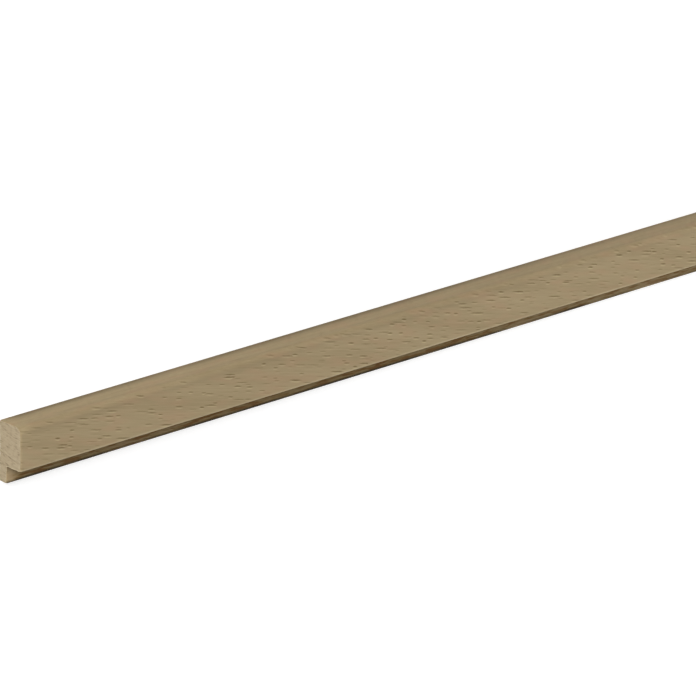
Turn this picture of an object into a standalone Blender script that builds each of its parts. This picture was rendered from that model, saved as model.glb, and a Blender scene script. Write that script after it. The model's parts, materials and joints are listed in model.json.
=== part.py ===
"""Rebated edge moulding: one length of planed beech, lying on its flat back.

X runs along the length, Y from the foot of the tongue to the rounded top edge, and Z up from the back
to the face. The origin is on the surface the piece lies on, under the middle of its outer box.
"""
import math

import bpy

# Driving dimensions, in metres
LENGTH = 1.0
HEIGHT = 0.020  # across the section, top edge to foot of the tongue
THICKNESS = 0.010  # flat back to face
TONGUE_THICKNESS = 0.0035  # wood left behind the rebate
TONGUE_HEIGHT = 0.0055  # how far the tongue stands below the block
FACE_RADIUS = 0.002  # moulded rounding between the face and the top edge
ARRIS_RADIUS = 0.0003  # light sanding of the other outer arrises

# Points on a full quarter of each kind of rounding
FACE_RADIUS_STEPS = 12
ARRIS_STEPS = 3
# Points nearer than this share of the arris points' spacing are one, where the end caps meet the sides
WELD_SHARE = 0.06

# Finish of the planed beech
BEECH_COLOUR = (0.352, 0.275, 0.162, 1.0)
BEECH_ROUGHNESS = 0.62
BEECH_METALLIC = 0.0

NODE_NAME = "moulding"
COLLECTION_NAME = "grooved_edge_moulding"

QUARTER_TURN = math.pi / 2


def clear_scene():
    """Remove every object of the open scene."""
    for existing in list(bpy.data.objects):
        bpy.data.objects.remove(existing, do_unlink=True)


def rounded_corner(corner, inward, start_angle, radius, steps):
    """Return the points of a quarter arc that rounds one outer corner, counter-clockwise.

    corner is the sharp corner, inward the signs (y, z) that point from it into the wood, and
    start_angle the direction from the arc's centre to its first point.
    """
    centre_y = corner[0] + inward[0] * radius
    centre_z = corner[1] + inward[1] * radius
    points = []
    for step in range(steps + 1):
        angle = start_angle + QUARTER_TURN * step / steps
        points.append((centre_y + radius * math.cos(angle), centre_z + radius * math.sin(angle)))
    return points


def section_outline():
    """Return the moulding's section as (y, z) points, counter-clockwise from the foot of the back."""
    foot = -HEIGHT / 2
    top = HEIGHT / 2
    shoulder = foot + TONGUE_HEIGHT
    arris_steps = ARRIS_STEPS
    outline = []
    outline += rounded_corner((foot, 0.0), (1, 1), math.pi, ARRIS_RADIUS, arris_steps)
    outline += rounded_corner((top, 0.0), (-1, 1), -QUARTER_TURN, ARRIS_RADIUS, arris_steps)
    outline += rounded_corner((top, THICKNESS), (-1, -1), 0.0, FACE_RADIUS, FACE_RADIUS_STEPS)
    outline += rounded_corner((shoulder, THICKNESS), (1, -1), QUARTER_TURN, ARRIS_RADIUS, arris_steps)
    outline.append((shoulder, TONGUE_THICKNESS))
    outline += rounded_corner((foot, TONGUE_THICKNESS), (1, -1), QUARTER_TURN, ARRIS_RADIUS, arris_steps)
    return outline


def beech_material():
    """Make the plain planed-beech material."""
    material = bpy.data.materials.new("planed_beech")
    material.use_nodes = True
    shader = material.node_tree.nodes["Principled BSDF"]
    shader.inputs["Base Color"].default_value = BEECH_COLOUR
    shader.inputs["Roughness"].default_value = BEECH_ROUGHNESS
    shader.inputs["Metallic"].default_value = BEECH_METALLIC
    return material


def make_moulding(collection):
    """Extrude the section along the length and lay it along X."""
    outline = section_outline()
    curve = bpy.data.curves.new(NODE_NAME, "CURVE")
    curve.dimensions = "2D"
    curve.fill_mode = "BOTH"
    curve.extrude = LENGTH / 2
    spline = curve.splines.new("POLY")
    spline.points.add(len(outline) - 1)
    for point, (y, z) in zip(spline.points, outline):
        point.co = (y, z, 0.0, 1.0)
    spline.use_cyclic_u = True
    curve.materials.append(beech_material())

    moulding = bpy.data.objects.new(NODE_NAME, curve)
    # Turns the curve's own X, Y and Z into the piece's Y, Z and X
    moulding.rotation_euler = (QUARTER_TURN, 0.0, QUARTER_TURN)
    weld = moulding.modifiers.new("caps_to_sides", "WELD")
    weld.merge_threshold = WELD_SHARE * ARRIS_RADIUS * QUARTER_TURN / ARRIS_STEPS
    collection.objects.link(moulding)
    return moulding


def main():
    """Build the moulding in a collection of its own."""
    clear_scene()
    collection = bpy.data.collections.new(COLLECTION_NAME)
    bpy.context.scene.collection.children.link(collection)
    make_moulding(collection)


main()
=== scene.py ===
"""Rebated edge moulding of planed beech, lying on its flat back on a pale studio floor.

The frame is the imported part's own, in metres: X runs along the length, Y from the foot of the tongue to the
rounded top edge, and Z up from the floor to the face. The camera stands where the photographer's did, so its
picture shows the near 0.3 m of the length with Y pointing up.
"""
import json
import logging
import math
from dataclasses import dataclass
from enum import Enum
from typing import Any

import bmesh
import bpy
import numpy as np
from bmesh.types import BMesh, BMFace, BMVert
from bpy.types import ID, Material, Mesh, Node, NodeSocket, NodeTree, Object
from mathutils import Matrix, Vector, noise


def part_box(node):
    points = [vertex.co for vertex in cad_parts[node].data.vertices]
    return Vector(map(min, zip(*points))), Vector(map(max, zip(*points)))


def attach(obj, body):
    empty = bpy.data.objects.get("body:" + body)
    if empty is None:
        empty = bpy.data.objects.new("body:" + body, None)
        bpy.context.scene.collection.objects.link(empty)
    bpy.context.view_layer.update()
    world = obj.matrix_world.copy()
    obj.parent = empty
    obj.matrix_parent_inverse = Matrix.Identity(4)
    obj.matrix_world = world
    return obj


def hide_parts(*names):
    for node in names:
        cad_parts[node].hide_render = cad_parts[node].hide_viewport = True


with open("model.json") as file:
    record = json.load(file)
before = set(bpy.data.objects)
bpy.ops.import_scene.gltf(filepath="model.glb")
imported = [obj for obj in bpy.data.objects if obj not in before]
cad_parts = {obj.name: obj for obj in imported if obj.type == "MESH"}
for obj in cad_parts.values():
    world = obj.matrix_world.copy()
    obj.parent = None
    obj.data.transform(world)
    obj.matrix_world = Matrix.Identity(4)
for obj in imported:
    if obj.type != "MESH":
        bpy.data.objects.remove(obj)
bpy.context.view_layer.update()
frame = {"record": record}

LOG = logging.getLogger("edge_moulding")

MM = 0.001  # one millimetre in the frame's metres
BODY = "root"
CAD_NODE = "moulding"

# Point attributes, from 0 to 1, that place painted highlights on rubbed arrises and painted shade on the wood
RUBBED_HIGHLIGHT = "rubbed_arris_highlight"
WARM_SHADE = "painted_warm_shade"
DARK_SHADE = "painted_dark_shade"

# Map that lays the moulding's skin out flat, for a bake of its finishes
BAKE_MAP = "OFBake"

# Sockets of Blender's Mix node that carry colours
MIX_FACTOR, MIX_FROM, MIX_TO, MIX_RESULT = 0, 6, 7, 2

# What a finish shows: its colour, the height of its relief and its roughness
Look = tuple[NodeSocket, Node, Node]

SCORE_WAY = (0.0, 0.94, 0.34)  # from one tooth's score to the next on a sawn end, in the part's frame


class Surface(Enum):
    """The two ways in which a surface of the moulding was made, in the order of its material slots."""

    PLANED = 0
    SAWN = 1


def linear(colour: str) -> tuple[float, float, float, float]:
    """Turns an sRGB hex colour into the linear one that shaders take.

    Args:
        colour: Six hex digits after a hash.

    Returns:
        Linear red, green and blue, and an alpha of 1.
    """
    channels = [int(colour[i : i + 2], 16) / 255 for i in (1, 3, 5)]
    red, green, blue = [c / 12.92 if c <= 0.04045 else ((c + 0.055) / 1.055) ** 2.4 for c in channels]
    return red, green, blue, 1.0


def add_node(
    tree: NodeTree, kind: str, inputs: dict[str | int, Any] | None = None, **settings: Any
) -> Node:
    """Adds one shader node with its settings and links.

    Args:
        tree: Node tree that the node goes into.
        kind: Blender's name for the kind of node, less the ShaderNode that it begins with.
        inputs: What each input socket, by name or number, is set to or fed from: a value, an output
            socket, or a node whose first output is meant.
        **settings: Values of the node's own properties.

    Returns:
        The new node.
    """
    node = tree.nodes.new("ShaderNode" + kind)
    for name, value in settings.items():
        setattr(node, name, value)
    for key, value in (inputs or {}).items():
        if isinstance(value, Node):
            value = value.outputs[0]
        if isinstance(value, NodeSocket):
            tree.links.new(value, node.inputs[key])
        else:
            node.inputs[key].default_value = value
    return node


def new_material(name: str) -> Material:
    """Makes a material with no nodes in it yet.

    Args:
        name: Its name.

    Returns:
        The material.
    """
    made = bpy.data.materials.new(name)
    made.use_nodes = True
    made.node_tree.nodes.clear()
    return made


def add_object(name: str, data: ID) -> Object:
    """Puts an object into the scene.

    Args:
        name: Its name.
        data: Its mesh, light or camera.

    Returns:
        The object.
    """
    made = bpy.data.objects.new(name, data)
    bpy.context.scene.collection.objects.link(made)
    return made


def faded(amount: float, away: float, reach: float, sharpness: float = 2.0) -> float:
    """Lets an amount die away with the distance from the place where it is whole."""
    return amount * math.exp(-((away / reach) ** sharpness))


@dataclass(frozen=True)
class BeechStock:
    """How the beech grew in this length: the run of its grain, and the size of what shows in it.

    The board was sawn nearly flat to the growth rings, so the rays meet the face end on and show there as
    short dark dashes. The grain runs out towards the tongue, which tilts the dashes to the length.
    """

    grain_slope_deg: float = 13.0  # from the length towards the tongue, seen on the face
    ray_slope_deg: float = 12.0  # from square to the face towards the tongue, seen on the end
    ray_spacing_mm: tuple[float, float] = (6.0, 1.4)  # along and across the grain
    ray_disorder: float = 0.85
    ray_half_length_mm: tuple[float, float] = (1.1, 3.6)
    ray_half_width_mm: tuple[float, float] = (0.15, 0.27)
    ray_edge: tuple[float, float] = (1.3, 0.4)  # where a dash begins and is full, in its own half sizes
    few_long: float = 2.0  # the higher, the fewer dashes are long
    few_deep: float = 1.6  # the higher, the fewer dashes are dark
    ray_raggedness_mm: float = 0.26
    raggedness_mm: tuple[float, float] = (1.4, 0.35)
    ring_spacing_mm: float = 2.6
    latewood: tuple[float, float] = (0.2, 1.0)  # where in a ring's wave its dense wood begins and is full
    fibre_mm: tuple[float, float] = (11.0, 0.5)  # real fibres are 1 x 0.02 mm: drawn in bundles that show
    patch_mm: tuple[float, float] = (45.0, 6.0)
    flush_mm: tuple[float, float] = (12.0, 3.0)  # the pinker patches
    wander_mm: float = 1.1  # how far the grain drifts from a straight line
    wander_length_mm: tuple[float, float] = (60.0, 15.0)

    def axes(self) -> tuple[Vector, Vector, Vector]:
        """Finds the wood's own directions in the part's frame.

        Returns:
            Unit vectors along the grain, across it in the plane of the growth rings, and along the rays.
        """
        slope = math.radians(self.grain_slope_deg)
        tilt = math.radians(self.ray_slope_deg)
        along = Vector((math.cos(slope), -math.sin(slope), 0.0))
        rays = Vector((0.0, -math.sin(tilt), math.cos(tilt)))
        rays = (rays - along * rays.dot(along)).normalized()
        return along, rays.cross(along), rays


class BeechFigure:
    """The beech's figure as shader nodes: one solid pattern, which every surface cuts through."""

    def __init__(self, tree: NodeTree, stock: BeechStock) -> None:
        """Lays out the wood's own coordinates, in millimetres, and scatters the rays over them.

        Args:
            tree: Node tree of the material that shows the figure.
            stock: The wood that it follows.
        """
        self.tree = tree
        self.stock = stock
        coordinates = add_node(tree, "TexCoord")
        self.normal = coordinates.outputs["Normal"]
        self.place = add_node(
            tree, "VectorMath", {0: coordinates.outputs["Object"], "Scale": 1 / MM}, operation="SCALE"
        )
        self.along, self.across, self.radial = [
            add_node(tree, "VectorMath", {0: self.place, 1: axis}, operation="DOT_PRODUCT").outputs["Value"]
            for axis in stock.axes()
        ]
        drift = self.streaks(*stock.wander_length_mm, detail=1.0)
        self.across = self.summed(self.across, (drift, 2 * stock.wander_mm))
        self.scatter_rays()

    def ray_facing(self) -> Node:
        """Tells how squarely the surface is cut across the rays.

        Returns:
            The share, from 0 to 1.
        """
        rays = self.stock.axes()[2]
        dot = add_node(self.tree, "VectorMath", {0: self.normal, 1: rays}, operation="DOT_PRODUCT")
        return add_node(self.tree, "Math", {0: dot.outputs["Value"]}, operation="ABSOLUTE")

    def streaks(
        self, length_mm: float, width_mm: float, depth_mm: float = 0.0, detail: float = 3.0
    ) -> Node:
        """Draws soft streaks along the grain.

        Args:
            length_mm: Their length along the grain.
            width_mm: Their width across the grain.
            depth_mm: Their reach along the rays, where 0 stands for the width.
            detail: How many finer layers they have.

        Returns:
            Their depth, from 0 to 1 and mostly near 0.5.
        """
        sizes = (length_mm, width_mm, depth_mm or width_mm)
        scaled = [
            add_node(self.tree, "Math", {0: value, 1: size}, operation="DIVIDE")
            for value, size in zip((self.along, self.across, self.radial), sizes)
        ]
        vector = add_node(self.tree, "CombineXYZ", dict(enumerate(scaled)))
        return add_node(self.tree, "TexNoise", {"Vector": vector, "Scale": 1.0, "Detail": detail})

    def scatter_rays(self) -> None:
        """Scatters the rays through the whole thickness, and gives each its size and depth of colour."""
        tree, stock = self.tree, self.stock
        spacing = Vector((*stock.ray_spacing_mm, 1.0))
        flat = add_node(tree, "CombineXYZ", {0: self.along, 1: self.across})
        cell = add_node(tree, "VectorMath", {0: flat, 1: spacing}, operation="DIVIDE")
        inputs = {"Vector": cell, "Scale": 1.0, "Randomness": stock.ray_disorder}
        spots = add_node(tree, "TexVoronoi", inputs, voronoi_dimensions="2D")
        offset = add_node(tree, "VectorMath", {0: cell, 1: spots.outputs["Position"]}, operation="SUBTRACT")
        offset = add_node(tree, "VectorMath", {0: offset, 1: spacing}, operation="MULTIPLY")
        wobble = self.streaks(*stock.raggedness_mm, detail=1.0)
        ragged = add_node(tree, "CombineXYZ", {1: self.varied(0.0, wobble, stock.ray_raggedness_mm)})
        self.from_ray = add_node(tree, "VectorMath", {0: offset, 1: ragged}, operation="ADD")
        chance = add_node(tree, "SeparateColor", {0: spots.outputs["Color"]})
        few_long = add_node(tree, "Math", {0: chance.outputs[0], 1: stock.few_long}, operation="POWER")
        sizes = ((few_long, stock.ray_half_length_mm), (chance.outputs[1], stock.ray_half_width_mm))
        length, width = [
            add_node(tree, "MapRange", {"Value": share, "To Min": low, "To Max": high})
            for share, (low, high) in sizes
        ]
        self.ray_reach = add_node(tree, "CombineXYZ", {0: length, 1: width, 2: 1.0})
        self.ray_depth = add_node(
            tree, "Math", {0: chance.outputs[2], 1: stock.few_deep}, operation="POWER"
        )

    def rays(self, aside_mm: float = 0.0) -> Node:
        """Draws the rays, each a spindle where the face cuts it.

        Args:
            aside_mm: How far across the grain the spindles are moved from the rays themselves.

        Returns:
            How deep in a spindle a point lies, from 0 to 1.
        """
        tree = self.tree
        moved = add_node(
            tree, "VectorMath", {0: self.from_ray, 1: (0.0, aside_mm, 0.0)}, operation="SUBTRACT"
        )
        inside = add_node(tree, "VectorMath", {0: moved, 1: self.ray_reach}, operation="DIVIDE")
        distance = add_node(tree, "VectorMath", {0: inside}, operation="LENGTH").outputs["Value"]
        outer, inner = self.stock.ray_edge
        inputs = {"Value": distance, "From Min": outer, "From Max": inner}
        spindle = add_node(tree, "MapRange", inputs, interpolation_type="SMOOTHSTEP")
        return self.summed(0.0, (spindle, self.ray_depth))

    def rings(self) -> Node:
        """Draws the dense latewood at the end of each year's growth.

        Returns:
            How dense it is, from 0 to 1.
        """
        turns = 2 * math.pi / self.stock.ring_spacing_mm
        drift = self.streaks(*self.stock.patch_mm, detail=1.0)
        wave = add_node(self.tree, "Math", {0: self.summed(drift, (self.radial, turns))}, operation="SINE")
        begins, full = self.stock.latewood
        inputs = {"Value": wave, "From Min": begins, "From Max": full}
        return add_node(self.tree, "MapRange", inputs, interpolation_type="SMOOTHSTEP")

    def ripple(self, axis: Vector, pitch_mm: float) -> Node:
        """Draws the even marks that a cutter leaves as it passes.

        Args:
            axis: Direction of the cut, in the part's frame.
            pitch_mm: Spacing of the marks.

        Returns:
            Their height, from -1 to 1.
        """
        turned = axis * (2 * math.pi / pitch_mm)
        phase = add_node(self.tree, "VectorMath", {0: self.place, 1: turned}, operation="DOT_PRODUCT")
        return add_node(self.tree, "Math", {0: phase.outputs["Value"]}, operation="SINE")

    def summed(self, base: Any, *parts: tuple[Any, Any]) -> Node:
        """Adds up patterns, each times its own share.

        Args:
            base: Where the sum starts: a number or a pattern.
            *parts: A pattern and its share, which may be negative, or a pattern too.

        Returns:
            The sum.
        """
        for pattern, share in parts:
            base = add_node(self.tree, "Math", {0: pattern, 1: share, 2: base}, operation="MULTIPLY_ADD")
        return base

    def varied(self, middle: float, pattern: Node, width: float) -> Node:
        """Varies a number evenly about its middle, by a pattern and over a width."""
        return self.summed(middle - width / 2, (pattern, width))

    def layered(self, ground: str, *layers: tuple[Any, str]) -> NodeSocket:
        """Lays colours over a ground colour, one after another.

        Args:
            ground: The ground colour, in hex.
            *layers: How much a layer covers, from 0 to 1, and its colour, in hex.

        Returns:
            The colour that comes of them.
        """
        colour: Any = linear(ground)
        for cover, layer in layers:
            inputs = {MIX_FACTOR: cover, MIX_FROM: colour, MIX_TO: linear(layer)}
            colour = add_node(self.tree, "Mix", inputs, data_type="RGBA").outputs[MIX_RESULT]
        return colour


@dataclass(frozen=True)
class BeechFinish:
    """Bare beech, whichever tool made its surface."""

    name: str
    roughness: float
    gloss: float  # level of its shine, of which 0.5 is the usual one
    relief_mm: float
    ior: float = 1.5

    def look(self, figure: BeechFigure) -> Look:
        """Draws what the finish shows, which each one does in its own way."""
        raise NotImplementedError

    def material(self, stock: BeechStock) -> Material:
        """Builds the finish.

        Args:
            stock: The wood that it shows.

        Returns:
            The material.
        """
        made = new_material(self.name)
        tree = made.node_tree
        colour, height, roughness = self.look(BeechFigure(tree, stock))
        bump = add_node(tree, "Bump", {"Height": height, "Distance": self.relief_mm * MM, "Strength": 1.0})
        inputs = {
            "Base Color": colour,
            "Roughness": roughness,
            "IOR": self.ior,
            "Specular IOR Level": self.gloss,
            "Normal": bump,
        }
        add_node(tree, "OutputMaterial", {"Surface": add_node(tree, "BsdfPrincipled", inputs)})
        return made


@dataclass(frozen=True)
class PlanedBeech(BeechFinish):
    """Beech planed by a moulding machine and lightly sanded, with no oil or lacquer on it.

    The wood is matt and even, a dull straw brown. Its rays show on the face as short dark dashes, each with a
    pale rim that is a painted highlight, and the fibres as faint streaks. Painted warm shade makes the rebate
    and the foot a darker, warmer brown, and painted dark shade darkens the rebate's inner corner, the foot's
    arris, the back arrises and, a little, the rounding. The lip's arris is rubbed and carries a painted
    highlight. The cutters' ripple is felt more than seen.
    """

    name: str = "planed_beech"
    deep: str = "#8f7e5e"
    pale: str = "#a39271"
    flush: str = "#a58669"
    ray: str = "#736243"
    # A painted highlight: the pale rim beside each ray's dash
    rim: str = "#b1a17c"
    # Painted warm shade over the rebate and the foot, brown with the light that the wood bounces about in the
    # rebate
    warm_shaded: str = "#785d20"
    warm_shaded_red: str = "#6e4a20"  # the redder patches of the painted warm shade
    # Painted dark shade in the rebate's inner corner, on the foot's arris, along the back arrises and a
    # little on the rounding
    dark_shaded: str = "#2c2307"
    # A painted highlight on the rubbed arris of the lip and on the rims of the sawn ends
    rubbed_and_highlight: str = "#c2b392"
    fibre_tone: float = 1.05  # how much of the step from deep to pale the fibres make, and so on
    patch_tone: float = 0.7
    ring_tone: float = -0.15
    tone_lift: float = 0.04
    most_flush: float = 0.38
    flush_range: tuple[float, float] = (0.46, 0.72)
    highlight_offset_mm: float = -0.5  # from a ray's dash to its painted highlight
    highlight_cover: float = 0.75
    ray_shows: tuple[float, float] = (0.3, 0.9)  # how squarely it is cut where a dash begins and is full
    least_ray: float = 0.12
    mottle_mm: tuple[float, float] = (6.0, 0.8)  # of the painted warm shade, along the cut and across it
    mottle_range: tuple[float, float] = (0.4, 0.6)
    least_warm_shade: float = 0.5  # where the mottle is weakest
    roughness: float = 0.7
    fibre_roughness: float = 0.16
    gloss: float = 0.17  # a third of the usual level, as its open fibres hold little shine
    knife_pitch_mm: float = 1.6
    relief_mm: float = 0.04
    fibre_relief: float = 0.8
    ray_relief: float = -0.16
    knife_relief: float = 0.04

    def look(self, figure: BeechFigure) -> Look:
        """Draws the long surfaces.

        Args:
            figure: The wood's figure.

        Returns:
            Their colour, the height of their relief and their roughness.
        """
        fibres = figure.streaks(*figure.stock.fibre_mm)
        rays = self.dashes(figure, 0.0)
        ripple = figure.ripple(Vector((1.0, 0.0, 0.0)), self.knife_pitch_mm)
        relief = ((fibres, self.fibre_relief), (rays, self.ray_relief), (ripple, self.knife_relief))
        roughness = figure.varied(self.roughness, fibres, self.fibre_roughness)
        return self.colour(figure, fibres, rays), figure.summed(0.0, *relief), roughness

    def dashes(self, figure: BeechFigure, aside_mm: float) -> Node:
        """Draws the rays' dashes, which fade where the surface runs along the rays.

        Args:
            figure: The wood's figure.
            aside_mm: How far across the grain they are moved from the rays.

        Returns:
            How deep in a dash a point lies, from 0 to 1.
        """
        begins, full = self.ray_shows
        inputs = {"Value": figure.ray_facing(), "From Min": begins, "From Max": full}
        shows = add_node(figure.tree, "MapRange", {**inputs, "To Min": self.least_ray})
        return figure.summed(0.0, (figure.rays(aside_mm), shows))

    def colour(self, figure: BeechFigure, fibres: Node, rays: Node) -> NodeSocket:
        """Lays the wood's colours over each other, and the painted highlights and painted shade over them.

        Args:
            figure: The wood's figure.
            fibres: Its fibres.
            rays: Its rays' dashes.

        Returns:
            The colour.
        """
        tree, stock = figure.tree, figure.stock
        patches = figure.streaks(*stock.patch_mm, detail=2.0)
        tone = figure.summed(
            (1 - self.fibre_tone - self.patch_tone) / 2 + self.tone_lift,
            (fibres, self.fibre_tone),
            (patches, self.patch_tone),
            (figure.rings(), self.ring_tone),
        )
        weak, strong = self.flush_range
        inputs = {"Value": figure.streaks(*stock.flush_mm, detail=1.0), "From Min": weak, "From Max": strong}
        flush = add_node(tree, "MapRange", {**inputs, "To Max": self.most_flush})
        # Painted highlights beside the dashes
        dash_highlights = figure.summed(0.0, (self.dashes(figure, self.highlight_offset_mm), self.highlight_cover))
        # Where the painted highlights, the painted warm shade and the painted dark shade lie
        rubbed_and_highlight, warm_shaded, dark_shaded = [
            add_node(tree, "Attribute", attribute_name=name).outputs["Fac"]
            for name in (RUBBED_HIGHLIGHT, WARM_SHADE, DARK_SHADE)
        ]
        # The painted warm shade is mottled, and redder where it is strongest
        along_cut, across_cut = self.mottle_mm
        scale = (1 / along_cut, 1 / across_cut, 1 / across_cut)
        cut = add_node(tree, "VectorMath", {0: figure.place, 1: scale}, operation="MULTIPLY")
        mottle = add_node(tree, "TexNoise", {"Vector": cut, "Scale": 1.0, "Detail": 2.0})
        weak, strong = self.mottle_range
        inputs = {"Value": mottle, "From Min": weak, "From Max": strong, "To Min": self.least_warm_shade}
        warm_shaded = figure.summed(0.0, (warm_shaded, add_node(tree, "MapRange", inputs)))
        inputs = {"Value": mottle, "From Min": (weak + strong) / 2, "From Max": strong}
        warm_shaded_red = figure.summed(0.0, (warm_shaded, add_node(tree, "MapRange", inputs)))
        return figure.layered(
            self.deep,
            (tone, self.pale),
            (flush, self.flush),
            (dash_highlights, self.rim),
            (rays, self.ray),
            (warm_shaded, self.warm_shaded),
            (warm_shaded_red, self.warm_shaded_red),
            (dark_shaded, self.dark_shaded),
            (rubbed_and_highlight, self.rubbed_and_highlight),
        )


@dataclass(frozen=True)
class SawnBeechEnd(BeechFinish):
    """Beech cross-cut by a fine saw: the open ends of the fibres.

    It is paler, greyer and rougher than the planed wood. The rays cross it as thin slanting lines that catch
    the light, with darker pores between them. The saw's teeth leave a shallow score.
    """

    name: str = "sawn_beech_end"
    deep: str = "#94856b"
    pale: str = "#a99a7f"
    ray: str = "#b3a489"
    pore: str = "#75664e"
    # A painted highlight on the rubbed rim of the sawn end
    rubbed_and_highlight: str = "#bcad90"
    roughness: float = 0.8
    gloss: float = 0.2
    score_pitch_mm: float = 0.9
    edge_offset_mm: float = -0.5  # from a ray to the row of pores beside it
    edge_cover: float = 0.35
    ray_cover: float = 0.55
    mottle_mm: tuple[float, float, float] = (9.0, 1.0, 3.0)  # along the grain, across it and along the rays
    pore_mm: tuple[float, float, float] = (4.0, 0.5, 1.7)  # real pores are 0.08 mm: drawn as rows of them
    pore_range: tuple[float, float] = (0.52, 0.8)  # where a pore begins and is full
    ring_tone: float = -0.12
    tone_lift: float = 0.05
    relief_mm: float = 0.08
    mottle_relief: float = 0.5
    pore_relief: float = -0.6
    ray_relief: float = 0.08
    score_relief: float = 0.08
    mottle_roughness: float = 0.2

    def look(self, figure: BeechFigure) -> Look:
        """Draws the sawn ends.

        Args:
            figure: The wood's figure.

        Returns:
            Their colour, the height of their relief and their roughness.
        """
        tree = figure.tree
        mottle = figure.streaks(*self.mottle_mm, detail=4.0)
        pores = figure.streaks(*self.pore_mm, detail=2.0)
        rays = figure.rays()
        begins, full = self.pore_range
        colour = figure.layered(
            self.deep,
            (figure.summed(self.tone_lift, (mottle, 1.0), (figure.rings(), self.ring_tone)), self.pale),
            (add_node(tree, "MapRange", {"Value": pores, "From Min": begins, "From Max": full}), self.pore),
            (figure.summed(0.0, (figure.rays(self.edge_offset_mm), self.edge_cover)), self.pore),
            (figure.summed(0.0, (rays, self.ray_cover)), self.ray),
            (add_node(tree, "Attribute", attribute_name=RUBBED_HIGHLIGHT).outputs["Fac"], self.rubbed_and_highlight),
        )
        height = figure.summed(
            0.0,
            (mottle, self.mottle_relief),
            (pores, self.pore_relief),
            (rays, self.ray_relief),
            (figure.ripple(Vector(SCORE_WAY), self.score_pitch_mm), self.score_relief),
        )
        return colour, height, figure.varied(self.roughness, mottle, self.mottle_roughness)


@dataclass(frozen=True)
class Corner:
    """One corner of the section, and the flat from it to the next corner."""

    y: float
    z: float
    inward: tuple[int, int] = (1, 1)  # signs of the way from the corner into the wood
    start: float = 0.0  # angle at which its quarter turn begins
    radius: float = 0.0  # 0 leaves it sharp
    steps: int = 0
    rubbing_and_highlight: float = 0.0  # how far handling has rubbed it, which also sets its painted highlight, from 0 to 1
    dark_shade: float = 0.0  # how far painted dark shade darkens it
    dark_shade_reach: float = 0.75 * MM  # how far the painted dark shade spreads over the flats
    dark_shade_fade: float = 2.0  # the higher, the more sharply the painted dark shade ends
    warm_shade: float = 0.0  # how much painted warm shade darkens the flat after it
    rim_highlight: float = 0.1  # how strong the painted highlight round the rim of the sawn ends is, by the corner and by that flat
    end_loss: float = 0.0  # how much more of it the sawn ends have lost than the rest of their rim

    @property
    def half_arc(self) -> float:
        """Way round the section from the middle of the rounding to a flat."""
        return self.radius * math.pi / 4

    def arc(self) -> list[tuple[float, float]]:
        """Rounds the corner.

        Returns:
            The Y and Z of the rounding's points, counter-clockwise.
        """
        y, z = self.y + self.inward[0] * self.radius, self.z + self.inward[1] * self.radius
        angles = [self.start + math.pi / 2 * i / max(self.steps, 1) for i in range(self.steps + 1)]
        return [(y + self.radius * math.cos(a), z + self.radius * math.sin(a)) for a in angles]


@dataclass
class Outline:
    """The closed outline of the section in the plane of Y and Z, counter-clockwise seen from the +X end."""

    points: np.ndarray  # one row for each point: Y and Z
    rubbing_and_highlight: np.ndarray
    rim_highlight: np.ndarray
    dark_shade: np.ndarray
    warm_shade: np.ndarray
    end_loss: np.ndarray

    def outward(self) -> np.ndarray:
        """Finds the outward direction at each point.

        Returns:
            Unit vectors, one row for each point.
        """
        tangent = np.roll(self.points, -1, axis=0) - np.roll(self.points, 1, axis=0)
        normal = np.stack([tangent[:, 1], -tangent[:, 0]], axis=1)
        return normal / np.linalg.norm(normal, axis=1, keepdims=True)

    def girth(self) -> np.ndarray:
        """Measures the way round from the first point to each point, and at last back to the first."""
        steps = np.linalg.norm(np.roll(self.points, -1, axis=0) - self.points, axis=1)
        return np.concatenate([[0.0], np.cumsum(steps)])


@dataclass(frozen=True)
class FlatLayout:
    """The moulding's skin laid out on a square sheet: strips of the length, and then the two ends."""

    start: float  # X of the near end
    length: float
    girth: float
    height: float  # of the ends, which stand upright on the sheet
    thickness: float
    strips: int = 4
    gap: float = 1.5 * MM

    @property
    def strip_length(self) -> float:
        """Length of moulding on one strip."""
        return self.length / self.strips

    @property
    def side(self) -> float:
        """Side of the sheet, which holds the strips one way and a strip with an end the other way."""
        return self.gap + max(
            self.strips * (self.girth + self.gap), self.strip_length + self.thickness + 2 * self.gap
        )

    def long_side(self, x: float, way_round: float, strip: int) -> tuple[float, float]:
        """Places a point of the long surfaces on the sheet.

        Args:
            x: The point's X.
            way_round: Its place round the section.
            strip: Number of the strip that it is on.

        Returns:
            Its place, from 0 to 1 both ways.
        """
        across = self.gap + strip * (self.girth + self.gap) + way_round
        return (self.gap + x - self.start - strip * self.strip_length) / self.side, across / self.side

    def end(self, y: float, z: float, number: int) -> tuple[float, float]:
        """Places a point of a sawn end on the sheet.

        Args:
            y: The point's Y, from the section's foot.
            z: Its Z.
            number: 0 for the near end and 1 for the far one.

        Returns:
            Its place, from 0 to 1 both ways.
        """
        across = self.gap + number * (self.height + self.gap) + y
        return (2 * self.gap + self.strip_length + z) / self.side, across / self.side


@dataclass(frozen=True)
class Unevenness:
    """Smooth unevenness over a surface, from about -1 to 1."""

    sizes: tuple[float, float]  # of its patches, one way and the other
    layer: float  # a number of its own, so that no two patterns agree

    def at(self, one_way: float, other_way: float, side: int = 1) -> float:
        """Gives its strength at a place, on one of two sides that differ."""
        return noise.noise(Vector((one_way / self.sizes[0], other_way / self.sizes[1], side * self.layer)))


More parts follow.
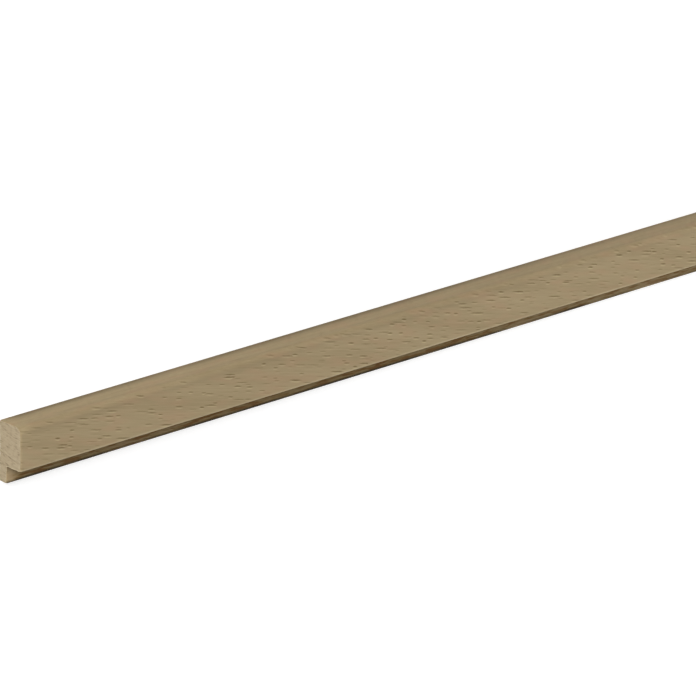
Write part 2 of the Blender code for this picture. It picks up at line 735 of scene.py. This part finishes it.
@dataclass(frozen=True)
class Wear:
    """What planing, handling and the saw did to the moulding, and where painted shade and highlights lie,
    each unevenly.
    """

    near_x: float  # X of the two sawn ends
    far_x: float
    planing_depth: float = 0.02 * MM  # most that the planed faces dip
    planing_dips: Unevenness = Unevenness((90 * MM, 7 * MM), 3.1)
    rub_depth: float = 0.09 * MM  # most that an arris has lost
    usual_rubbing: float = 0.7  # share of it that is lost on average, and how much that changes; these also set the painted highlight
    rubbing_change: float = 0.4
    rubbing_patches: Unevenness = Unevenness((23 * MM, 15 * MM), 9.7)
    knock_floor: float = 0.35  # how strong a knock has to be to show
    knocks: Unevenness = Unevenness((5 * MM, 4 * MM), 17.3)
    end_depth: float = 0.16 * MM  # how far the arris round a sawn end has worn back on average
    end_reach: float = 0.3 * MM
    end_change: float = 1.6
    end_patches: Unevenness = Unevenness((1.3 * MM, 1.0), 3.3)
    ends_apart: float = 7.7  # keeps the patterns of the two ends apart
    loss_reach: float = 3.0 * MM  # how far along the length a corner by a sawn end is worn off
    shade_cleared: float = 0.95  # how much less painted shade is laid by the sawn ends, where more light reaches in
    shade_cleared_reach: float = 4.0 * MM
    shade_cleared_sharpness: float = 4.0
    deep_stays: float = 0.75  # share of the deepest painted dark shade that stays by the sawn ends
    deepening: int = 3  # the higher, the less of the painted dark shade counts as deep
    usual_dark: float = 0.9  # share of the painted warm and dark shade that shows on average
    least_patchy: float = 0.25  # how much that changes where the painted dark shade is thin
    dark_patches: Unevenness = Unevenness((14 * MM, 2.0 * MM), 41.9)
    drift_change: float = 0.5
    dark_drift: Unevenness = Unevenness((140 * MM, 1.0), 22.09)  # the same all round the section
    saw_depth: float = 0.06 * MM  # most that the saw scored the ends
    usual_score: float = 0.4
    score_change: float = 0.35
    saw_teeth: Unevenness = Unevenness((0.8 * MM, 9 * MM), 5.0)
    torn_fibres: Unevenness = Unevenness((1.2 * MM, 1.2 * MM), 11.0)

    def from_end(self, x: float) -> float:
        """Measures the way along the length to the nearer sawn end."""
        return min(x - self.near_x, self.far_x - x)

    def on_surface(self, x: float, way_round: float, exposure: float) -> tuple[float, float]:
        """Works out how far one point of the surface lies below the true section.

        Args:
            x: Its place along the length.
            way_round: Its place round the section.
            exposure: How exposed it is to rubbing.

        Returns:
            Its depth, and how strong the painted highlight of its rubbing is, from 0 to 1.
        """
        planed = self.planing_depth * ((1 + self.planing_dips.at(x, way_round)) / 2)
        patchy = self.usual_rubbing + self.rubbing_change * self.rubbing_patches.at(x, way_round)
        knocks = max(0.0, self.knocks.at(x, way_round) - self.knock_floor)
        rubbed_and_highlight = exposure * min(1.0, max(0.0, patchy) + knocks)
        return planed * (1 - exposure) + self.rub_depth * rubbed_and_highlight, rubbed_and_highlight

    def by_end(self, x: float, way_round: float, loss: float) -> float:
        """Works out how far the arris round a sawn end has worn back at one point.

        Args:
            x: Its place along the length.
            way_round: Its place round the section.
            loss: How much more the section's corner has lost there.

        Returns:
            The depth that is gone.
        """
        patchy = self.end_patches.at(way_round, math.copysign(self.ends_apart, x))
        depth = self.end_depth * max(0.0, 1 + self.end_change * patchy)
        from_end = self.from_end(x)
        return faded(depth, from_end, self.end_reach) + faded(loss, from_end, self.loss_reach)

    def darkened(self, x: float, way_round: float, warm_shade: float, dark_shade: float) -> tuple[float, float]:
        """Works out how much painted warm and dark shade lies on one point, unevenly along the length and
        less by the ends.

        Args:
            x: Its place along the length.
            way_round: Its place round the section.
            warm_shade: How much painted warm shade the section has there.
            dark_shade: How much painted dark shade the section has there.

        Returns:
            Its painted warm shade and painted dark shade, from 0 to 1. The deepest painted dark shade stays
            most by the ends.
        """
        deep = dark_shade**self.deepening
        near = (self.least_patchy + (1 - self.least_patchy) * deep) * self.dark_patches.at(x, way_round)
        uneven = min(1.0, self.usual_dark + near + self.drift_change * self.dark_drift.at(x, 0.0))
        # By the sawn ends, where more light reaches in, less painted shade is laid, but the deepest painted
        # dark shade stays
        shade_cleared_share = faded(self.shade_cleared, self.from_end(x), self.shade_cleared_reach, self.shade_cleared_sharpness)
        dark_shade_left = 1 - shade_cleared_share * (1 - self.deep_stays * deep)
        return uneven * warm_shade * (1 - shade_cleared_share), uneven * dark_shade * dark_shade_left

    def saw_score(self, y: float, z: float, end: int) -> float:
        """Works out how far the saw cut into a sawn end at one point.

        Args:
            y: The point's Y.
            z: Its Z.
            end: -1 for the near end and 1 for the far one, which the saw scored differently.

        Returns:
            The depth of the cut.
        """
        across = SCORE_WAY[1] * y + SCORE_WAY[2] * z
        tooth = self.score_change * self.saw_teeth.at(across, z, end)
        torn = self.score_change * self.torn_fibres.at(y, z, end)
        return self.saw_depth * min(1.0, max(0.0, self.usual_score + tooth + torn))


def sawn_faces(shape: BMesh) -> list[BMFace]:
    """Lists the faces of the sawn ends."""
    return [face for face in shape.faces if face.material_index == Surface.SAWN.value]


@dataclass
class RebatedMoulding:
    """One length of moulding: a block with a rounded top edge, and the tongue that the rebate leaves."""

    low: Vector
    high: Vector
    tongue_thickness: float
    shoulder: float  # Y of the block's underside, where the rebate ends
    wear: Wear
    face_radius: float = 2.0 * MM
    arris_radius: float = 0.3 * MM
    foot_radius: float = 0.12 * MM  # the tongue's foot stays crisp
    face_radius_steps: int = 16
    arris_steps: int = 5
    flat_step: float = 1.0 * MM  # spacing of points across a flat
    flat_edges: tuple[float, ...] = (0.25 * MM, 0.55 * MM, 0.9 * MM)  # from its edges to its first points
    rubbed_width: float = 0.3 * MM  # how far the rubbing of a corner and its painted highlight reach into its flats
    loss_width: float = 1.7 * MM  # how far round the section a corner by a sawn end is worn off
    station_step: float = 2.0 * MM  # spacing of sections along the length
    rim_stations: tuple[float, ...] = (0.15 * MM, 0.4 * MM, 0.8 * MM, 1.3 * MM)  # closer ones by a sawn end
    end_grid: float = 0.5 * MM  # spacing of the cuts across a sawn end
    cut_slack: float = 0.01 * MM  # a point nearer than this to a cut is on it
    sharp_deg: float = 40.0  # a sharper turn between two faces stays crisp

    def corners(self) -> list[Corner]:
        """Lists the section's corners, counter-clockwise from the foot of the back.

        Returns:
            The corners.
        """
        foot, top, face, cheek = self.low.y, self.high.y, self.high.z, self.tongue_thickness
        quarter = math.pi / 2
        arris = {"radius": self.arris_radius, "steps": self.arris_steps}
        foot_arris = {"radius": self.foot_radius, "steps": self.arris_steps, "dark_shade_fade": 4.0}
        rounding = {"radius": self.face_radius, "steps": self.face_radius_steps, "end_loss": 0.4 * MM}
        # Painted dark shade lies along the back arrises, on the foot's arris, in the rebate's inner corner
        # and a little on the rounding; painted warm shade lies over the rebate and the foot and faintly on
        # the back and the top; the lip's arris and the rims of the sawn ends carry painted highlights.
        return [
            Corner(foot, 0.0, (1, 1), math.pi, **arris, dark_shade=0.6, warm_shade=0.06),
            Corner(top, 0.0, (-1, 1), -quarter, **arris, dark_shade=0.52, dark_shade_reach=2.2 * MM, warm_shade=0.04),
            Corner(top, face, (-1, -1), 0.0, **rounding, dark_shade=0.1, dark_shade_reach=1.0 * MM, rim_highlight=0.25),
            Corner(
                self.shoulder, face, (1, -1), quarter, **arris, rubbing_and_highlight=0.65, warm_shade=0.6, rim_highlight=0.9
            ),
            Corner(self.shoulder, cheek, dark_shade=0.95, dark_shade_reach=2.7 * MM, warm_shade=0.85, rim_highlight=0.5),
            Corner(foot, cheek, (1, -1), quarter, **foot_arris, dark_shade=1.0, dark_shade_reach=0.7 * MM, warm_shade=0.5),
        ]

    def outline(self) -> Outline:
        """Draws the section, with its flats divided so that they can carry relief.

        Returns:
            The section's outline.
        """
        corners = self.corners()
        points: list[tuple[float, float]] = []
        marks: list[tuple[float, ...]] = []
        for before, corner, following in zip(corners[-1:] + corners, corners, corners[1:] + corners[:1]):
            arc = corner.arc()
            begin, end = np.array(arc[-1]), np.array(following.arc()[0])
            width = float(np.linalg.norm(end - begin))
            pieces = round(width / self.flat_step)
            *edges, last = self.flat_edges
            even = np.linspace(last, width - last, pieces)
            places = [*edges, *even, *(width - edge for edge in reversed(edges))]
            points += arc + [tuple(begin + (end - begin) * place / width) for place in places]
            for turned in np.linspace(0.0, 1.0, len(arc)):
                warm_shade = before.warm_shade + (corner.warm_shade - before.warm_shade) * turned
                loss = faded(corner.end_loss, (2 * turned - 1) * corner.half_arc, self.loss_width)
                marks.append((corner.rubbing_and_highlight, corner.rim_highlight, corner.dark_shade, warm_shade, loss))
            for place in places:
                both = ((corner, place), (following, width - place))
                rubbing_and_highlight = sum(faded(near.rubbing_and_highlight, away, self.rubbed_width) for near, away in both)
                dark_shade = sum(faded(near.dark_shade, away, near.dark_shade_reach, near.dark_shade_fade) for near, away in both)
                loss = sum(faded(near.end_loss, away + near.half_arc, self.loss_width) for near, away in both)
                marks.append((rubbing_and_highlight, corner.rim_highlight, min(1.0, dark_shade), corner.warm_shade, loss))
        return Outline(np.array(points), *np.array(marks).T)

    def stations(self) -> np.ndarray:
        """Spaces the sections along the length, closer together by the sawn ends.

        Returns:
            X of each section.
        """
        pieces = round((self.high.x - self.low.x) / self.station_step)
        even = np.linspace(self.low.x, self.high.x, pieces + 1)
        close = np.array(self.rim_stations)
        return np.unique(np.concatenate([even, self.low.x + close, self.high.x - close]))

    def mesh(self) -> Mesh:
        """Lofts the section along the length, closes the ends and cuts their scored faces.

        Returns:
            The closed mesh, with a material number on each face and its flat layout.
        """
        outline, stations = self.outline(), self.stations()
        shape = bmesh.new()
        rows = self.rows(shape, outline, stations)
        girth = outline.girth()
        length, height = self.high.x - self.low.x, self.high.y - self.low.y
        layout = FlatLayout(self.low.x, length, girth[-1], height, self.high.z - self.low.z)
        flat = shape.loops.layers.uv.new(BAKE_MAP)
        for place, x in enumerate(stations[:-1]):
            row, following, next_x = rows[place], rows[place + 1], stations[place + 1]
            strip = int(((x + next_x) / 2 - self.low.x) / layout.strip_length)
            for i in range(len(row)):
                j = (i + 1) % len(row)
                face = shape.faces.new((row[i], row[j], following[j], following[i]))
                face.material_index = Surface.PLANED.value
                ways = (girth[i], girth[i + 1], girth[i + 1], girth[i])
                for loop, at, way in zip(face.loops, (x, x, next_x, next_x), ways):
                    loop[flat].uv = layout.long_side(at, way, strip)
        for rim in (list(reversed(rows[0])), rows[-1]):
            shape.faces.new(rim).material_index = Surface.SAWN.value
        self.cut_ends(shape)
        for loop in (loop for face in sawn_faces(shape) for loop in face.loops):
            spot = loop.vert.co
            loop[flat].uv = layout.end(spot.y - self.low.y, spot.z, int(spot.x > 0))
        made = bpy.data.meshes.new("edge_moulding")
        shape.to_mesh(made)
        shape.free()
        return made

    def rows(self, shape: BMesh, outline: Outline, stations: np.ndarray) -> list[list[BMVert]]:
        """Sets out the section's points at every station, with their wear, painted highlights and painted
        shade.

        Args:
            shape: Mesh that the points go into.
            outline: The section.
            stations: X of each row.

        Returns:
            The points, one row for each station.
        """
        layers = [shape.verts.layers.float.new(name) for name in (RUBBED_HIGHLIGHT, WARM_SHADE, DARK_SHADE)]
        outward, girth = outline.outward(), outline.girth()
        rows = []
        for x in stations:
            at_rim = x in (stations[0], stations[-1])
            row = []
            for i, (y, z) in enumerate(outline.points):
                depth, rubbed_and_highlight = self.wear.on_surface(x, girth[i], outline.rubbing_and_highlight[i])
                depth += self.wear.by_end(x, girth[i], outline.end_loss[i])
                vertex = shape.verts.new((x, y - outward[i][0] * depth, z - outward[i][1] * depth))
                # The rims of the sawn ends carry a painted highlight
                rubbed_and_highlight = max(rubbed_and_highlight, outline.rim_highlight[i]) if at_rim else rubbed_and_highlight
                # The painted warm shade and painted dark shade at this point
                darkened = self.wear.darkened(x, girth[i], outline.warm_shade[i], outline.dark_shade[i])
                for layer, value in zip(layers, (rubbed_and_highlight, *darkened)):
                    vertex[layer] = value
                row.append(vertex)
            rows.append(row)
        return rows

    def cut_ends(self, shape: BMesh) -> None:
        """Divides the sawn ends by a grid and scores them.

        Args:
            shape: The closed moulding, changed in place.
        """
        highlight_layer = shape.verts.layers.float[RUBBED_HIGHLIGHT]
        for axis, low, high in ((1, self.low.y, self.high.y), (2, self.low.z, self.high.z)):
            direction = Vector([float(i == axis) for i in range(3)])
            cuts = round((high - low) / self.end_grid)
            for i in range(1, cuts):
                faces = sawn_faces(shape)
                edges = dict.fromkeys(edge for face in faces for edge in face.edges)
                vertices = dict.fromkeys(vertex for face in faces for vertex in face.verts)
                bmesh.ops.bisect_plane(
                    shape,
                    geom=[*faces, *edges, *vertices],
                    dist=self.cut_slack,
                    plane_co=direction * (low + (high - low) * i / cuts),
                    plane_no=direction,
                )
        for vertex in dict.fromkeys(vertex for face in sawn_faces(shape) for vertex in face.verts):
            end = 1 if vertex.co.x > 0 else -1
            vertex.co.x -= end * self.wear.saw_score(vertex.co.y, vertex.co.z, end)
            # Only the rim of a sawn end keeps its painted highlight
            if all(face.material_index == Surface.SAWN.value for face in vertex.link_faces):
                vertex[highlight_layer] = 0.0

    def build(self) -> Object:
        """Makes the moulding and hands it to the part's body, in place of the plain solid.

        Returns:
            The piece.
        """
        mesh = self.mesh()
        mesh.shade_smooth()
        mesh.set_sharp_from_angle(angle=math.radians(self.sharp_deg))
        piece = add_object("edge_moulding", mesh)
        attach(piece, BODY)
        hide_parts(CAD_NODE)
        return piece

    def dress(self, piece: Object, stock: BeechStock) -> None:
        """Gives the piece its finishes, in the order of the surfaces.

        Args:
            piece: The moulding.
            stock: The wood that it is made of.
        """
        finishes = {Surface.PLANED: PlanedBeech(), Surface.SAWN: SawnBeechEnd()}
        for surface in Surface:
            piece.data.materials.append(finishes[surface].material(stock))


@dataclass(frozen=True)
class StudioFloor:
    """The pale floor and the empty white studio round it."""

    clear_x: float  # half the length of what lies on the floor, along X
    half_side: float = 30.0
    tone: float = 0.6  # what the floor gives back to the wood
    lift: float = 0.61  # what is added to the floor where it is seen, so that its lit parts look white
    fade: tuple[float, float] = (0.10, 0.35)  # how far from the moulding the shading ends
    backdrop: str = "#ffffff"
    sky: float = 0.07

    def build(self) -> None:
        """Lays the floor and lights the world."""
        shape = bmesh.new()
        bmesh.ops.create_grid(shape, x_segments=1, y_segments=1, size=self.half_side)
        mesh = bpy.data.meshes.new("studio_floor")
        shape.to_mesh(mesh)
        shape.free()
        floor = add_object("studio_floor", mesh)
        mesh.materials.append(self.material())
        world = bpy.data.worlds.new("studio")
        world.use_nodes = True
        tree = world.node_tree
        tree.nodes.clear()
        light = add_node(tree, "Background", {"Color": linear(self.backdrop), "Strength": self.sky})
        white = add_node(tree, "Background", {"Color": linear(self.backdrop)})
        mix = add_node(tree, "MixShader", {0: self.seen(tree), 1: light, 2: white})
        add_node(tree, "OutputWorld", {"Surface": mix})
        bpy.context.scene.world = world

    def seen(self, tree: NodeTree) -> Node:
        """Tells what is seen, straight or in a reflection or through glass, from what only lights the wood.

        Args:
            tree: Node tree of the floor's material or of the world.

        Returns:
            1 for what is seen, and 0 for what only lights.
        """
        path = add_node(tree, "LightPath").outputs
        seen: Any = path["Is Camera Ray"]
        for ray in ("Is Glossy Ray", "Is Transmission Ray"):
            seen = add_node(tree, "Math", {0: seen, 1: path[ray]}, operation="MAXIMUM")
        return seen

    def far_off(self, tree: NodeTree) -> Node:
        """Tells how far a place on the floor is from the moulding, from 0 near it to 1 past the fade.

        Args:
            tree: Node tree of the floor's material.

        Returns:
            The share of plain white.
        """
        place = add_node(tree, "TexCoord").outputs["Object"]
        axes = add_node(tree, "SeparateXYZ", {0: place})
        along = add_node(tree, "Math", {0: axes}, operation="ABSOLUTE")
        beyond = add_node(tree, "Math", {0: along, 1: self.clear_x}, operation="SUBTRACT")
        beyond = add_node(tree, "Math", {0: beyond, 1: 0.0}, operation="MAXIMUM")
        way = add_node(tree, "CombineXYZ", {0: beyond, 1: axes.outputs[1]})
        distance = add_node(tree, "VectorMath", {0: way}, operation="LENGTH").outputs["Value"]
        inputs = {"Value": distance, "From Min": self.fade[0], "From Max": self.fade[1]}
        return add_node(tree, "MapRange", inputs, interpolation_type="SMOOTHSTEP")

    def material(self) -> Material:
        """Builds the floor's matt paint, which looks white where no shadow falls.

        Returns:
            The material.
        """
        made = new_material("studio_floor_paint")
        tree = made.node_tree
        seen = self.seen(tree)
        paint = add_node(tree, "BsdfDiffuse", {"Color": (self.tone, self.tone, self.tone, 1.0)})
        lift = add_node(tree, "Math", {0: seen, 1: self.lift}, operation="MULTIPLY")
        glow = add_node(tree, "Emission", {"Color": linear(self.backdrop), "Strength": lift})
        near = add_node(tree, "AddShader", {0: paint, 1: glow})
        white = add_node(tree, "Emission", {"Color": linear(self.backdrop)})
        share = add_node(tree, "Math", {0: seen, 1: self.far_off(tree)}, operation="MULTIPLY")
        both = add_node(tree, "MixShader", {0: share, 1: near, 2: white})
        add_node(tree, "OutputMaterial", {"Surface": both})
        return made


class LampKind(Enum):
    """The two kinds of lamp, by Blender's names for them."""

    FAR = "SUN"  # large, and so far away that its light is even along the moulding
    SOFTBOX = "AREA"  # square, and near enough for its light to fall away along the moulding


@dataclass(frozen=True)
class Lamp:
    """A soft lamp of the studio."""

    name: str
    kind: LampKind
    place: tuple[float, float, float]  # only the way to it counts for a far lamp
    level: float  # what it adds to a white surface that faces it, where it aims
    aim: tuple[float, float, float] = (0.0, 0.0, 0.0)
    spread_deg: float = 30.0  # of a far lamp
    side: float = 0.5  # of a softbox

    def build(self) -> None:
        """Hangs the lamp and turns it to its aim."""
        data = bpy.data.lights.new(self.name, self.kind.value)
        back = Vector(self.place) - Vector(self.aim)
        if self.kind is LampKind.FAR:
            data.energy = self.level * math.pi
            data.angle = math.radians(self.spread_deg)
        else:
            data.energy = self.level * math.pi**2 * back.length_squared
            data.shape = "SQUARE"
            data.size = self.side
        lamp = add_object(self.name, data)
        lamp.location = self.place
        lamp.rotation_mode = "QUATERNION"
        lamp.rotation_quaternion = back.to_track_quat("Z", "Y")


@dataclass(frozen=True)
class PhotoCamera:
    """The photograph's viewpoint, worked out from the near end's corners and the long edges."""

    turn_deg: float = 44.312  # from square on to the length, towards the near end
    drop_deg: float = 19.752  # from the face's own plane, towards the top edge
    roll_deg: float = 1.399
    focal_px: float = 6153.0
    corner_px: tuple[float, float] = (20.58, 472.77)  # the lip's near corner in the picture
    corner_scale: float = 3.263  # pixels to the millimetre there
    picture_px: float = 696.0
    sensor_mm: float = 36.0

    def build(self, corner: Vector) -> None:
        """Sets up the camera.

        Args:
            corner: The lip's near corner in the part's frame.
        """
        turn, drop, roll = (math.radians(a) for a in (self.turn_deg, self.drop_deg, self.roll_deg))
        right = Vector((math.cos(turn), 0.0, math.sin(turn)))
        up = Vector((math.sin(turn) * math.sin(drop), math.cos(drop), -math.cos(turn) * math.sin(drop)))
        ahead = Vector((math.sin(turn) * math.cos(drop), -math.sin(drop), -math.cos(turn) * math.cos(drop)))
        tilted_right = right * math.cos(roll) + up * math.sin(roll)
        tilted_up = up * math.cos(roll) - right * math.sin(roll)
        sideways = self.corner_px[0] - self.picture_px / 2
        upwards = self.picture_px / 2 - self.corner_px[1]
        from_camera = tilted_right * sideways + tilted_up * upwards + ahead * self.focal_px
        place = corner - from_camera * (MM / self.corner_scale)
        data = bpy.data.cameras.new("photo_camera")
        data.sensor_width = self.sensor_mm
        data.lens = self.focal_px * self.sensor_mm / self.picture_px
        camera = add_object("photo_camera", data)
        turned = Matrix((tilted_right, tilted_up, -ahead)).transposed()
        camera.matrix_world = Matrix.Translation(place) @ turned.to_4x4()
        bpy.context.scene.camera = camera


# The top edge and the sawn end get most of the light, and the rebate the least, as in the photograph
LAMPS = (
    Lamp("left_window", LampKind.FAR, (-0.707, 0.51, 0.49), 0.57),
    Lamp("left_fill", LampKind.FAR, (-0.707, -0.542, 0.455), 0.16),
    Lamp("near_softbox", LampKind.SOFTBOX, (-0.95, 0.45, 0.35), 0.66, aim=(-0.45, 0.0, 0.0)),
    Lamp("far_softbox", LampKind.SOFTBOX, (0.95, 0.45, 0.35), 0.3, aim=(0.45, 0.0, 0.0)),
    Lamp("top_softbox", LampKind.SOFTBOX, (0.2, -0.1, 0.6), 0.61),
    Lamp("low_fill", LampKind.FAR, (0.55, -0.83, 0.09), 0.35),  # for the foot and the far end
)


def section_of(record: dict[str, Any]) -> tuple[float, float]:
    """Reads the tongue's thickness and the shoulder's place from the record's mounts.

    Args:
        record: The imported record.

    Returns:
        The tongue's thickness, and the Y of the block's underside.
    """
    places = {mount["name"]: mount["pos_m"] for mount in record["mounts"]}
    return places["rebate_cheek"][2], places["rebate_shoulder"][1]


def main() -> None:
    """Builds the camera, the studio and the moulding."""
    logging.basicConfig(level=logging.INFO, format="%(name)s: %(message)s")
    low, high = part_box(CAD_NODE)
    tongue_thickness, shoulder = section_of(frame["record"])
    PhotoCamera().build(Vector((low.x, shoulder, high.z)))
    StudioFloor(clear_x=high.x).build()
    for lamp in LAMPS:
        lamp.build()
    bpy.context.scene.view_settings.view_transform = "Standard"
    moulding = RebatedMoulding(low, high, tongue_thickness, shoulder, Wear(low.x, high.x))
    piece = moulding.build()
    moulding.dress(piece, BeechStock())
    size = [round(side, 4) for side in piece.dimensions]
    LOG.info("%s: %d faces, %s m", piece.name, len(piece.data.polygons), size)


if __name__ == "__main__":
    main()
